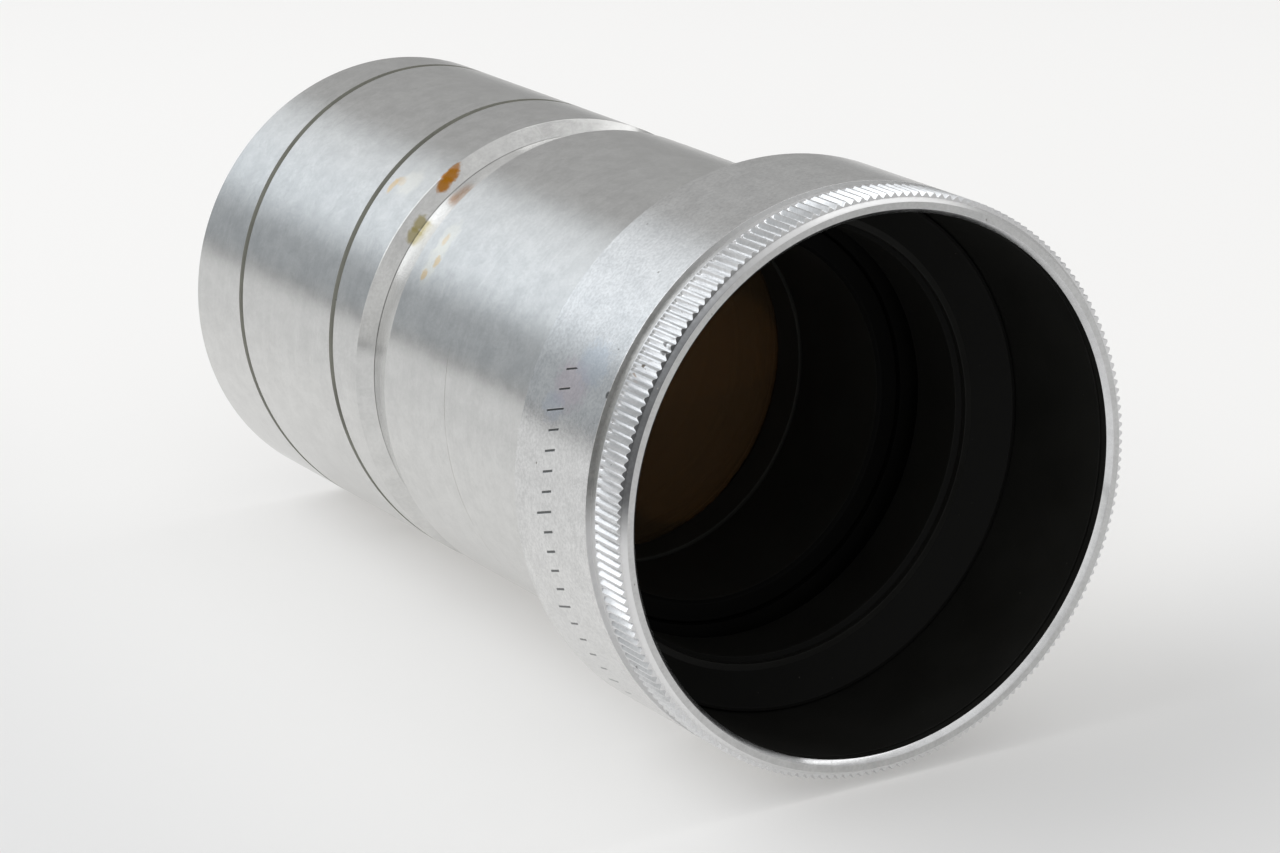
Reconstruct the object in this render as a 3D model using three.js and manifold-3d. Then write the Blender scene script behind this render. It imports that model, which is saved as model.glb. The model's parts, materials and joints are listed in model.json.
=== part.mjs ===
// A slide projection lens with a deep built-in hood, in millimetres.
// The optical axis is Y. The hood's rim faces -Y, the sleeve's open end faces +Y, and +Z is up.
// The origin is on the optical axis, halfway between the rim face and the sleeve's end face.
// Places along the axis are written as depths: the distance behind the rim face.

import * as THREE from "three";
import { mergeVertices } from "three/addons/utils/BufferGeometryUtils.js";
import Module from "manifold-3d";

const wasm = await Module();
wasm.setup();

// Overall sizes
const LENGTH = 86.6;
const HOOD_RADIUS = 24.9;
const BARREL_RADIUS = 21.25;
const MOUTH_RADIUS = 23.2;
const TUBE_BORE = 18.6;

// Hood: knurled front ring, shell and black funnel
const RIM_CHAMFER = 0.35;
const RIM_LIP_END = 1.2;
const KNURL_START = 0.5;
const KNURL_END = 4.3;
const KNURL_DEPTH = 0.35;
const KNURL_TEETH = 200;
const RING_BORE = 24.0;
const SPIGOT_START = 1.5;
const SPIGOT_RADIUS = 23.85;
const HOOD_GROOVE_END = 5.4;
const HOOD_GROOVE_RADIUS = 24.4;
const HOOD_END = 17.3;
const HOOD_THREAD_RADIUS = 20.3;
const HOOD_THREAD_END = 23.3;
const HOOD_NECK_BORE = 19.75;
const BULKHEAD_START = 16.3;
const FUNNEL_START = 13.5;
const FUNNEL_END = 17.2;
const FUNNEL_BORE = 19.2;
const FUNNEL_NECK_END = 23.0;

// Barrel, sleeve and the shallow valley between them
const BARREL_START = 17.35;
const BARREL_THREAD_BORE = 20.5;
const BARREL_THREAD_END = 24.8;
const TAPER_START = 47.4;
const VALLEY = 51.8;
const VALLEY_RADIUS = 20.0;
const SLEEVE_SHOULDER = 53.0;
const SLEEVE_SPIGOT_RADIUS = 19.45;
const SLEEVE_SPIGOT_END = 58.0;
const SLEEVE_SOCKET_RADIUS = 19.6;
const SLEEVE_SOCKET_END = 58.3;
const EDGE_CHAMFER = 0.25;

// Focusing groove: one right-hand helix, open at the sleeve's end
const GROOVE_WIDTH = 0.8;
const GROOVE_DEPTH = 1.1;
const GROOVE_PITCH = 18.8;
const GROOVE_START = 54.2;
const GROOVE_CROSSING = 59.3;
const GROOVE_CROSSING_TURN = 300.5 / 360;
const GROOVE_STEPS_PER_TURN = 32;

// Light trap tube, the first black piece inside the barrel
const CELL_RADIUS = 18.4;
const TRAP_START = 25.2;
const TRAP_END = 37.7;
const TRAP_BORE = 16.5;
const TRAP_BEVEL = 0.3;

// Front cell
const FRONT_CELL_START = 37.85;
const FRONT_CELL_SHOULDER = 46.5;
const FRONT_CELL_BORE = 17.5;
const FRONT_CELL_THREAD = 17.2;
const FRONT_CELL_END = 48.6;
const FRONT_SEAT_BORE = 15.9;
const FRONT_SEAT_START = 45.1;
const FRONT_RING_FACE = 38.0;
const FRONT_RING_BACK = 41.5;
const FRONT_RING_BORE = 16.3;
const FRONT_ELEMENT_RADIUS = 17.35;
const SHIM_START = 46.6;
const SHIM_END = 46.9;

// Main cell
const MAIN_CELL_START = 47.0;
const MAIN_CELL_END = 62.2;
const MAIN_THREAD_BORE = 17.4;
const MAIN_THREAD_END = 48.8;
const MIDDLE_BORE = 15.0;
const MIDDLE_RING_FACE = 49.0;
const MIDDLE_RING_BACK = 50.7;
const MIDDLE_ELEMENT_RADIUS = 14.85;
const MIDDLE_CLEAR_RADIUS = 12.8;
const MIDDLE_SEAT_BORE = 13.0;
const MIDDLE_SEAT_START = 57.2;
const MIDDLE_SEAT_END = 58.4;
const STOP_BORE = 11.6;
const STOP_START = 58.5;
const STOP_END = 59.1;
const REAR_SOCKET_BORE = 15.2;

// Rear cell
const REAR_CELL_THREAD = 15.05;
const REAR_CELL_THREAD_START = 59.3;
const REAR_CELL_BODY_START = 62.4;
const REAR_CELL_END = 74.0;
const REAR_CELL_RADIUS = 17.0;
const REAR_CELL_BORE = 14.6;
const REAR_SEAT_BORE = 13.4;
const REAR_SEAT_END = 63.3;
const DOUBLET_RADIUS = 14.4;
const REAR_RING_BORE = 13.2;
const REAR_RING_START = 71.65;
const REAR_RING_FACE = 73.6;
const LOCK_RING_BORE = 17.3;
const LOCK_RING_FACE = 65.6;

// Baffle ring near the sleeve's open end
const BAFFLE_START = 80.0;
const BAFFLE_END = 83.0;
const BAFFLE_BORE = 15.6;
const BAFFLE_MOUTH = 17.2;

// Glass surfaces. A positive curvature bulges towards the rim.
const FRONT_ELEMENT_FRONT = { apex: 38.1, curvature: 38, clear: FRONT_ELEMENT_RADIUS };
const FRONT_ELEMENT_REAR = { apex: 45.7, curvature: -150, clear: FRONT_ELEMENT_RADIUS };
const MIDDLE_ELEMENT_FRONT = { apex: 52.4, curvature: -55, clear: MIDDLE_CLEAR_RADIUS };
const MIDDLE_ELEMENT_REAR = { apex: 54.6, curvature: 34, clear: MIDDLE_CLEAR_RADIUS };
const DOUBLET_FRONT = { apex: 63.4, curvature: 400, clear: DOUBLET_RADIUS };
const CEMENT_FRONT = { apex: 65.0, curvature: 28, clear: DOUBLET_RADIUS };
const CEMENT_REAR = { apex: 65.05, curvature: 28, clear: DOUBLET_RADIUS };
const DOUBLET_REAR = { apex: 73.4, curvature: -45, clear: DOUBLET_RADIUS };
const SURFACE_STEPS = 5;

// Spanner slots in the retaining rings
const SLOT_WIDTH = 1.2;
const SLOT_LENGTH = 8.0;
const SLOT_DEPTH = 0.9;

// Facets around each turned piece
const OUTER_FACETS = 48;
const INNER_FACETS = 32;

const ALUMINIUM = { color: 0xc9cccf, roughness: 0.34, metalness: 1.0 };
const BRIGHT_ALUMINIUM = { color: 0xd6d8da, roughness: 0.26, metalness: 1.0 };
const BLACK = { color: 0x161614, roughness: 0.7, metalness: 0.0 };
const BRASS = { color: 0xb08d4a, roughness: 0.4, metalness: 1.0 };
const GLASS = { color: 0x6f5a38, roughness: 0.05, metalness: 0.0 };

const lens = new THREE.Group();

function addPiece(name, geometry, finish) {
  const mesh = new THREE.Mesh(geometry, new THREE.MeshStandardMaterial(finish));
  mesh.name = name;
  lens.add(mesh);
}

// Turns a profile of [radius, depth] pairs about the optical axis.
// Each facet's flat touches the true radius, and one flat faces straight down.
function turned(profile, facets) {
  const stretch = 1 / Math.cos(Math.PI / facets);
  const points = profile.map(([r, depth]) => new THREE.Vector2(r * stretch, depth - LENGTH / 2));
  if (THREE.ShapeUtils.area(points) < 0) {
    points.reverse();
  }
  const onAxis = points[0].x === 0 && points[points.length - 1].x === 0;
  if (!onAxis) {
    points.push(points[0].clone());
  }
  return new THREE.LatheGeometry(points, facets, Math.PI / facets, 2 * Math.PI);
}

// A plain ring between two depths.
function ring(inner, outer, start, end) {
  return turned([[inner, start], [outer, start], [outer, end], [inner, end]], INNER_FACETS);
}

function toSolid(geometry) {
  const bare = geometry.clone();
  bare.deleteAttribute("normal");
  bare.deleteAttribute("uv");
  const merged = mergeVertices(bare, 1e-4);
  const mesh = new wasm.Mesh({
    numProp: 3,
    vertProperties: new Float32Array(merged.attributes.position.array),
    triVerts: new Uint32Array(merged.index.array),
  });
  return new wasm.Manifold(mesh);
}

function toGeometry(solid) {
  const mesh = solid.getMesh();
  const geometry = new THREE.BufferGeometry();
  geometry.setAttribute("position", new THREE.BufferAttribute(mesh.vertProperties, 3));
  geometry.setIndex(new THREE.BufferAttribute(mesh.triVerts, 1));
  geometry.computeVertexNormals();
  return geometry;
}

// Points of a spherical lens surface, from the axis to the edge of its clear part.
function lensSurface({ apex, curvature, clear }) {
  const points = [];
  for (let i = 0; i <= SURFACE_STEPS; i += 1) {
    const r = (clear * i) / SURFACE_STEPS;
    const sag = Math.abs(curvature) - Math.sqrt(curvature * curvature - r * r);
    points.push([r, apex + Math.sign(curvature) * sag]);
  }
  return points;
}

// A lens element: its front surface, its edge with a flat land where it has one, and its rear surface.
function element(front, rear, edgeRadius) {
  const frontPoints = lensSurface(front);
  const rearPoints = lensSurface(rear).reverse();
  const edge = [];
  if (front.clear < edgeRadius) {
    edge.push([edgeRadius, frontPoints[SURFACE_STEPS][1]]);
  }
  if (rear.clear < edgeRadius) {
    edge.push([edgeRadius, rearPoints[0][1]]);
  }
  return turned([...frontPoints, ...edge, ...rearPoints], INNER_FACETS);
}

// A threaded retaining ring, with two spanner slots in the face at faceDepth.
function slottedRing(inner, outer, faceDepth, backDepth) {
  let solid = toSolid(ring(inner, outer, faceDepth, backDepth));
  for (const side of [-1, 1]) {
    const slot = new THREE.BoxGeometry(SLOT_LENGTH, 2 * SLOT_DEPTH, SLOT_WIDTH);
    slot.translate(side * outer, faceDepth - LENGTH / 2, 0);
    solid = solid.subtract(toSolid(slot));
  }
  return toGeometry(solid);
}

// Corners evenly spaced on a circle, taking the given radii in turn.
function corners(radii, count) {
  return Array.from({ length: count }, (_, i) => {
    const angle = (2 * Math.PI * i) / count;
    const r = radii[i % radii.length];
    return new THREE.Vector2(r * Math.cos(angle), r * Math.sin(angle));
  });
}

// Straight knurl: a band of V-shaped teeth parallel to the axis.
function knurlBand(innerRadius, rootRadius) {
  const outline = new THREE.Shape(corners([HOOD_RADIUS, rootRadius], 2 * KNURL_TEETH));
  outline.holes.push(new THREE.Path(corners([innerRadius], OUTER_FACETS)));
  const depth = KNURL_END - KNURL_START;
  const band = new THREE.ExtrudeGeometry(outline, { depth, bevelEnabled: false });
  band.rotateX(-Math.PI / 2);
  band.translate(0, KNURL_START - LENGTH / 2, 0);
  return band;
}

// A square bar bent along the focusing helix, running out past the sleeve's end.
function focusingHelix() {
  const overrun = 1.0;
  const startTurn = GROOVE_CROSSING_TURN + (GROOVE_START - GROOVE_CROSSING) / GROOVE_PITCH;
  const turns = (LENGTH + overrun - GROOVE_START) / GROOVE_PITCH;
  const steps = Math.ceil(turns * GROOVE_STEPS_PER_TURN);
  const middleRadius = BARREL_RADIUS + (overrun - GROOVE_DEPTH) / 2;
  const bar = new THREE.BoxGeometry(GROOVE_WIDTH, GROOVE_DEPTH + overrun, 1, 1, 1, steps);
  const position = bar.attributes.position;
  for (let i = 0; i < position.count; i += 1) {
    const turn = (position.getZ(i) + 0.5) * turns;
    const angle = 2 * Math.PI * (startTurn + turn);
    const radius = middleRadius + position.getY(i);
    const depth = GROOVE_START + turn * GROOVE_PITCH + position.getX(i);
    position.setXYZ(i, radius * Math.sin(angle), depth - LENGTH / 2, radius * Math.cos(angle));
  }
  return bar;
}

// Hood
function knurledFrontRing() {
  const rootRadius = HOOD_RADIUS - KNURL_DEPTH;
  const bite = 0.1;
  const body = turned([
    [MOUTH_RADIUS, RIM_CHAMFER],
    [MOUTH_RADIUS + RIM_CHAMFER, 0],
    [rootRadius - RIM_CHAMFER, 0],
    [rootRadius - bite, KNURL_START],
    [rootRadius - bite, KNURL_END],
    [RING_BORE, KNURL_END],
    [RING_BORE, RIM_LIP_END],
    [MOUTH_RADIUS, RIM_LIP_END],
  ], OUTER_FACETS);
  const band = knurlBand(RING_BORE + bite, rootRadius);
  return toGeometry(toSolid(body).add(toSolid(band)));
}

function hoodShell() {
  const ringSeat = KNURL_END + 0.1;
  return turned([
    [MOUTH_RADIUS, SPIGOT_START],
    [SPIGOT_RADIUS, SPIGOT_START],
    [SPIGOT_RADIUS, ringSeat],
    [HOOD_GROOVE_RADIUS, ringSeat],
    [HOOD_GROOVE_RADIUS, HOOD_GROOVE_END],
    [HOOD_RADIUS, HOOD_GROOVE_END],
    [HOOD_RADIUS, HOOD_END - EDGE_CHAMFER],
    [HOOD_RADIUS - EDGE_CHAMFER, HOOD_END],
    [HOOD_THREAD_RADIUS, HOOD_END],
    [HOOD_THREAD_RADIUS, HOOD_THREAD_END],
    [HOOD_NECK_BORE, HOOD_THREAD_END],
    [HOOD_NECK_BORE, BULKHEAD_START],
    [MOUTH_RADIUS, BULKHEAD_START],
  ], OUTER_FACETS);
}

function hoodFunnel() {
  const fit = 0.15;
  const flangeRadius = MOUTH_RADIUS - fit;
  const flangeBack = BULKHEAD_START - fit;
  const neckRadius = HOOD_NECK_BORE - fit;
  return turned([
    [flangeRadius - RIM_CHAMFER, FUNNEL_START],
    [flangeRadius, FUNNEL_START],
    [flangeRadius, flangeBack],
    [neckRadius, flangeBack],
    [neckRadius, FUNNEL_NECK_END],
    [FUNNEL_BORE, FUNNEL_NECK_END],
    [FUNNEL_BORE, FUNNEL_END],
  ], OUTER_FACETS);
}

// Barrel and sleeve
function barrelTube() {
  return turned([
    [BARREL_THREAD_BORE, BARREL_START],
    [BARREL_RADIUS, BARREL_START],
    [BARREL_RADIUS, TAPER_START],
    [VALLEY_RADIUS, VALLEY],
    [SLEEVE_SPIGOT_RADIUS, VALLEY],
    [SLEEVE_SPIGOT_RADIUS, SLEEVE_SPIGOT_END],
    [TUBE_BORE, SLEEVE_SPIGOT_END],
    [TUBE_BORE, BARREL_THREAD_END],
    [BARREL_THREAD_BORE, BARREL_THREAD_END],
  ], OUTER_FACETS);
}

function rearSleeve() {
  const front = VALLEY + 0.1;
  const body = turned([
    [SLEEVE_SOCKET_RADIUS, front],
    [VALLEY_RADIUS, front],
    [BARREL_RADIUS, SLEEVE_SHOULDER],
    [BARREL_RADIUS, LENGTH - EDGE_CHAMFER],
    [BARREL_RADIUS - EDGE_CHAMFER, LENGTH],
    [TUBE_BORE, LENGTH],
    [TUBE_BORE, SLEEVE_SOCKET_END],
    [SLEEVE_SOCKET_RADIUS, SLEEVE_SOCKET_END],
  ], OUTER_FACETS);
  return toGeometry(toSolid(body).subtract(toSolid(focusingHelix())));
}

// Black tubes and cells inside the barrel
function lightTrapTube() {
  return turned([
    [TRAP_BORE + TRAP_BEVEL, TRAP_START],
    [CELL_RADIUS, TRAP_START],
    [CELL_RADIUS, TRAP_END],
    [TRAP_BORE, TRAP_END],
    [TRAP_BORE, TRAP_START + TRAP_BEVEL],
  ], INNER_FACETS);
}

function frontCell() {
  return turned([
    [FRONT_CELL_BORE, FRONT_CELL_START],
    [CELL_RADIUS, FRONT_CELL_START],
    [CELL_RADIUS, FRONT_CELL_SHOULDER],
    [FRONT_CELL_THREAD, FRONT_CELL_SHOULDER],
    [FRONT_CELL_THREAD, FRONT_CELL_END],
    [FRONT_SEAT_BORE, FRONT_CELL_END],
    [FRONT_SEAT_BORE, FRONT_SEAT_START],
    [FRONT_CELL_BORE, FRONT_SEAT_START],
  ], INNER_FACETS);
}

function mainCell() {
  return turned([
    [MAIN_THREAD_BORE, MAIN_CELL_START],
    [CELL_RADIUS, MAIN_CELL_START],
    [CELL_RADIUS, MAIN_CELL_END],
    [REAR_SOCKET_BORE, MAIN_CELL_END],
    [REAR_SOCKET_BORE, MIDDLE_SEAT_END],
    [MIDDLE_SEAT_BORE, MIDDLE_SEAT_END],
    [MIDDLE_SEAT_BORE, MIDDLE_SEAT_START],
    [MIDDLE_BORE, MIDDLE_SEAT_START],
    [MIDDLE_BORE, MAIN_THREAD_END],
    [MAIN_THREAD_BORE, MAIN_THREAD_END],
  ], INNER_FACETS);
}

function rearCell() {
  return turned([
    [REAR_SEAT_BORE, REAR_CELL_THREAD_START],
    [REAR_CELL_THREAD, REAR_CELL_THREAD_START],
    [REAR_CELL_THREAD, REAR_CELL_BODY_START],
    [REAR_CELL_RADIUS, REAR_CELL_BODY_START],
    [REAR_CELL_RADIUS, REAR_CELL_END],
    [REAR_CELL_BORE, REAR_CELL_END],
    [REAR_CELL_BORE, REAR_SEAT_END],
    [REAR_SEAT_BORE, REAR_SEAT_END],
  ], INNER_FACETS);
}

function rearBaffleRing() {
  return turned([
    [BAFFLE_BORE, BAFFLE_START],
    [CELL_RADIUS, BAFFLE_START],
    [CELL_RADIUS, BAFFLE_END],
    [BAFFLE_MOUTH, BAFFLE_END],
  ], INNER_FACETS);
}

// Hood assembly
addPiece("knurled_front_ring", knurledFrontRing(), BRIGHT_ALUMINIUM);
addPiece("hood_shell", hoodShell(), ALUMINIUM);
addPiece("hood_funnel", hoodFunnel(), BLACK);

// Barrel assembly
addPiece("barrel_tube", barrelTube(), ALUMINIUM);
addPiece("rear_sleeve", rearSleeve(), ALUMINIUM);
addPiece("light_trap_tube", lightTrapTube(), BLACK);
addPiece("rear_baffle_ring", rearBaffleRing(), BLACK);

// Optical unit, from front to back
const frontRing = slottedRing(FRONT_RING_BORE, FRONT_ELEMENT_RADIUS, FRONT_RING_FACE, FRONT_RING_BACK);
const shim = ring(FRONT_CELL_BORE, CELL_RADIUS, SHIM_START, SHIM_END);
const middleRing = slottedRing(MIDDLE_SEAT_BORE, MIDDLE_ELEMENT_RADIUS, MIDDLE_RING_FACE, MIDDLE_RING_BACK);
const rearRing = slottedRing(REAR_RING_BORE, DOUBLET_RADIUS, REAR_RING_FACE, REAR_RING_START);
const lockRing = slottedRing(LOCK_RING_BORE, CELL_RADIUS, LOCK_RING_FACE, REAR_CELL_BODY_START);
addPiece("front_cell", frontCell(), BLACK);
addPiece("front_retaining_ring", frontRing, BLACK);
addPiece("front_element", element(FRONT_ELEMENT_FRONT, FRONT_ELEMENT_REAR, FRONT_ELEMENT_RADIUS), GLASS);
addPiece("spacing_shim", shim, BRASS);
addPiece("main_cell", mainCell(), BLACK);
addPiece("middle_retaining_ring", middleRing, BLACK);
addPiece("middle_element", element(MIDDLE_ELEMENT_FRONT, MIDDLE_ELEMENT_REAR, MIDDLE_ELEMENT_RADIUS), GLASS);
addPiece("aperture_stop", ring(STOP_BORE, MIDDLE_BORE, STOP_START, STOP_END), BLACK);
addPiece("rear_cell", rearCell(), BLACK);
addPiece("doublet_flint", element(DOUBLET_FRONT, CEMENT_FRONT, DOUBLET_RADIUS), GLASS);
addPiece("doublet_crown", element(CEMENT_REAR, DOUBLET_REAR, DOUBLET_RADIUS), GLASS);
addPiece("rear_retaining_ring", rearRing, BLACK);
addPiece("cell_lock_ring", lockRing, BRASS);

export default lens;
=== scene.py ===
"""A slide projection lens with a deep built-in hood, lying on its side on a pale floor.

The optical axis is the row frame's Y axis, the hood's rim faces -Y, and all lengths are metres.
"""

import functools
import json
import math

import bpy
import numpy as np
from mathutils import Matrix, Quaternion, Vector

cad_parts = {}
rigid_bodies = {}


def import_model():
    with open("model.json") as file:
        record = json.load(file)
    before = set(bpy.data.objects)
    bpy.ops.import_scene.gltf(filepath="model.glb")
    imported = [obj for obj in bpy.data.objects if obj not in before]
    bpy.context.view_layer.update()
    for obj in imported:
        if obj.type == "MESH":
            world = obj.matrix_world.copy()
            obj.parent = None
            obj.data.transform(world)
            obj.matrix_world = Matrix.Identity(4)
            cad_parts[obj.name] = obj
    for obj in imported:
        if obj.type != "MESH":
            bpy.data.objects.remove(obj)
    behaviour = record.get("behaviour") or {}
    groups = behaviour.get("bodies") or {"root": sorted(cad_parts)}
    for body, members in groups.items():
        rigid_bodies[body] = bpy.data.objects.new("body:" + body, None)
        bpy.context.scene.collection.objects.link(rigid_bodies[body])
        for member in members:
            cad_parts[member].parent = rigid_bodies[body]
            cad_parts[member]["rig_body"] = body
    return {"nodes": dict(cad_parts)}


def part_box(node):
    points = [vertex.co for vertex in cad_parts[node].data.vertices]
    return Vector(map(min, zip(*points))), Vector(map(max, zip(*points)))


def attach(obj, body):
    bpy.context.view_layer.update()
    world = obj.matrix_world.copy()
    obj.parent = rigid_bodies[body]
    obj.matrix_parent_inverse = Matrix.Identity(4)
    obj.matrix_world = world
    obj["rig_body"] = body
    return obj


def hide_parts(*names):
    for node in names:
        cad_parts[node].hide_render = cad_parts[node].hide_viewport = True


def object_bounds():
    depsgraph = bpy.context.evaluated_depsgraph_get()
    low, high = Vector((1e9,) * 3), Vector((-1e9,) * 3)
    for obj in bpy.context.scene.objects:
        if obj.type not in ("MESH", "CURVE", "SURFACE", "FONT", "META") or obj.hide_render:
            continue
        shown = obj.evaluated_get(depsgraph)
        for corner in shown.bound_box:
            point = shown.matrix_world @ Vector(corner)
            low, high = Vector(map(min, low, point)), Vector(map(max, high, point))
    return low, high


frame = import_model()
CAD_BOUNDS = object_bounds()

MM = 0.001
RIM_Y = CAD_BOUNDS[0].y
END_Y = CAD_BOUNDS[1].y

# ---------------------------------------------------------------- node materials

GRAIN_DEPTH = 0.03 * MM
RING_DRIFT = 45.0  # cycles per metre in which the turning marks change along their rings
FINE_RING_SHARE = 0.55


def add_node(tree, kind, inputs=None, **settings):
    """Adds a shader node. Inputs that are sockets are linked, and the others are set."""
    made = tree.nodes.new(kind)
    for key, value in settings.items():
        setattr(made, key, value)
    for key, value in (inputs or {}).items():
        if isinstance(value, bpy.types.NodeSocket):
            tree.links.new(value, made.inputs[key])
        else:
            made.inputs[key].default_value = value
    return made


class Shade:
    """A procedural material, built up node by node."""

    def __init__(self, name, **sockets):
        self.material = bpy.data.materials.new(name)
        self.material.use_nodes = True
        self.tree = self.material.node_tree
        self.shader = self.tree.nodes["Principled BSDF"]
        self.object = self.node("ShaderNodeTexCoord").outputs["Object"]
        for socket, value in sockets.items():
            self.shader.inputs[socket.replace("_", " ")].default_value = value

    def node(self, kind, inputs=None, **settings):
        return add_node(self.tree, kind, inputs, **settings)

    def link(self, output, socket):
        self.tree.links.new(output, self.shader.inputs[socket])

    def math(self, operation, a, b=0.0, c=0.0):
        return self.node("ShaderNodeMath", {0: a, 1: b, 2: c}, operation=operation).outputs[0]

    def smooth(self, value, low, high):
        """0 at low and 1 at high, with an eased ramp between; high may be under low."""
        inputs = {"Value": value, "From Min": low, "From Max": high, "To Min": 0.0, "To Max": 1.0}
        made = self.node("ShaderNodeMapRange", inputs, interpolation_type="SMOOTHSTEP", clamp=True)
        return made.outputs["Result"]

    def spread(self, value, low, high):
        """Takes a 0 to 1 value to the range low to high."""
        inputs = {"Value": value, "To Min": low, "To Max": high}
        return self.node("ShaderNodeMapRange", inputs, clamp=True).outputs["Result"]

    def scaled(self, scale, offset=(0.0, 0.0, 0.0)):
        inputs = {"Vector": self.object, "Scale": scale, "Location": offset}
        return self.node("ShaderNodeMapping", inputs).outputs["Vector"]

    def noise(self, scale, detail=3.0, roughness=0.55, offset=(0.0, 0.0, 0.0)):
        """Noise with a scale of its own along each axis, in cycles per metre."""
        inputs = {"Vector": self.scaled(scale, offset), "Scale": 1.0}
        inputs.update({"Detail": detail, "Roughness": roughness})
        return self.node("ShaderNodeTexNoise", inputs).outputs[0]

    def mix(self, factor, a, b, blend_type="MIX"):
        inputs = {0: factor, 6: a, 7: b}
        made = self.node("ShaderNodeMix", inputs, data_type="RGBA", blend_type=blend_type)
        return made.outputs[2]

    def bump(self, height, distance, strength=1.0, normal=None):
        inputs = {"Height": height, "Distance": distance, "Strength": strength}
        if normal is not None:
            inputs["Normal"] = normal
        return self.node("ShaderNodeBump", inputs).outputs["Normal"]

    def ring_noise(self, frequency, detail):
        """Noise that runs in rings round the optical axis, on cylinders and flat faces alike."""
        axes = self.node("ShaderNodeSeparateXYZ", {0: self.object})
        x, y, z = (axes.outputs[k] for k in "XYZ")
        squares = self.math("ADD", self.math("MULTIPLY", x, x), self.math("MULTIPLY", z, z))
        radius = self.math("SQRT", squares)
        across = self.math("MULTIPLY", radius, frequency)
        along = self.math("MULTIPLY", y, frequency)
        drift = self.math("MULTIPLY", self.math("ADD", x, z), RING_DRIFT)
        vector = self.node("ShaderNodeCombineXYZ", {0: across, 1: along, 2: drift}).outputs[0]
        inputs = {"Vector": vector, "Scale": 1.0, "Detail": detail, "Roughness": 0.65}
        return self.node("ShaderNodeTexNoise", inputs).outputs[0]

    def around(self):
        """The place round the optical axis, -180 to 180 degrees: 0 at the top, 90 towards +X."""
        axes = self.node("ShaderNodeSeparateXYZ", {0: self.object})
        turn = self.math("ARCTAN2", axes.outputs["X"], axes.outputs["Z"])
        return self.math("MULTIPLY", turn, math.degrees(1.0)), axes.outputs["Y"]


def rgb(r, g, b):
    return (r, g, b, 1.0)


SPOT_TINT = rgb(0.3, 0.29, 0.27)
DUST_TINT = rgb(0.05, 0.048, 0.043)
INK = rgb(0.03, 0.035, 0.035)


def point_on(radius, degrees, y):
    """A point at a place round the axis, 0 at the top and 90 towards +X."""
    turn = math.radians(degrees)
    return Vector((radius * math.sin(turn), y, radius * math.cos(turn)))


def add_rings(shade, fine, coarse, distance):
    """Turning marks round the axis, as bump. Returns the bumped normal and the marks' value, 0 to 1."""
    marks = shade.math("MULTIPLY", shade.ring_noise(fine, 4.0), FINE_RING_SHARE)
    broad = shade.math("MULTIPLY", shade.ring_noise(coarse, 2.0), 1.0 - FINE_RING_SHARE)
    marks = shade.math("ADD", marks, broad)
    return shade.bump(marks, distance), marks


def add_blotches(shade, colour, blotches):
    """Blotches of dried lacquer or rust, and the painted orange reflection on the sleeve's taper: (place,
    size, colour, strength) each.
    """
    raggedness, edge_gone, edge_full = 1.5, 1.95, 1.35
    wobble = shade.noise((1500.0, 1500.0, 1500.0), detail=5.0, roughness=0.7)
    wobble = shade.math("MULTIPLY", wobble, raggedness)
    for place, size, tint, strength in blotches:
        offset = shade.node("ShaderNodeVectorMath", {0: shade.object, 1: place}, operation="SUBTRACT")
        scaled = shade.node("ShaderNodeVectorMath", {0: offset.outputs[0], 1: size}, operation="DIVIDE")
        reach = shade.node("ShaderNodeVectorMath", {0: scaled.outputs[0]}, operation="LENGTH")
        ragged = shade.math("ADD", reach.outputs["Value"], wobble)
        mask = shade.math("MULTIPLY", shade.smooth(ragged, edge_gone, edge_full), strength)
        colour = shade.mix(mask, colour, tint)
    return colour


def turned_aluminium(name, tint, roughness, ring_depth, grain=0.0, blotches=(), marks=None):
    """Satin aluminium with turning marks, cloudy handling marks and fine grain.

    marks, if given, is a function that draws on top: it takes and gives back the colour and normal.
    """
    cloud_share, cloud_range, cloud_shades, cloud_roughness = 0.75, (0.34, 0.66), (0.94, 1.05), 0.02
    line_shade, speckle_shade = 0.05, 0.03 + grain
    shade = Shade(name, Metallic=1.0, Anisotropic=0.8, Anisotropic_Rotation=0.25)
    tangent = shade.node("ShaderNodeTangent", direction_type="RADIAL", axis="Y")
    shade.link(tangent.outputs["Tangent"], "Tangent")

    cloud = shade.noise((640.0, 420.0, 640.0), detail=5.0, roughness=0.6)
    smear = shade.noise((110.0, 1300.0, 110.0), detail=4.0, offset=(3.0, 1.0, 7.0))
    speckle = shade.noise((3600.0, 3600.0, 3600.0), detail=2.0, offset=(9.0, 4.0, 1.0))
    smear = shade.math("MULTIPLY", smear, 1.0 - cloud_share)
    cloudy = shade.math("MULTIPLY_ADD", cloud, cloud_share, smear)
    cloudy = shade.smooth(cloudy, *cloud_range)
    speckle = shade.smooth(speckle, 0.3, 0.7)
    normal, lines = add_rings(shade, 6500.0, 1500.0, ring_depth)
    ruled = shade.spread(lines, -line_shade, line_shade)
    shading = shade.math("ADD", shade.spread(cloudy, *cloud_shades), ruled)
    shading = shade.math("ADD", shading, shade.spread(speckle, -speckle_shade, speckle_shade))
    grey = shade.node("ShaderNodeCombineColor", {i: shading for i in range(3)}).outputs[0]
    colour = shade.mix(1.0, rgb(*tint), grey, "MULTIPLY")
    if grain:
        normal = shade.bump(speckle, grain * GRAIN_DEPTH, 1.0, normal)
        spots = shade.noise((1900.0, 1900.0, 1900.0), detail=1.0, offset=(5.0, 2.0, 1.0))
        colour = shade.mix(shade.smooth(spots, 0.77, 0.82), colour, SPOT_TINT)
    colour = add_blotches(shade, colour, blotches)
    if marks is not None:
        colour, normal = marks(shade, colour, normal)
    shade.link(colour, "Base Color")
    uneven = shade.spread(cloudy, roughness - cloud_roughness, roughness + cloud_roughness)
    shade.link(uneven, "Roughness")
    shade.link(normal, "Normal")
    return shade.material


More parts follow.
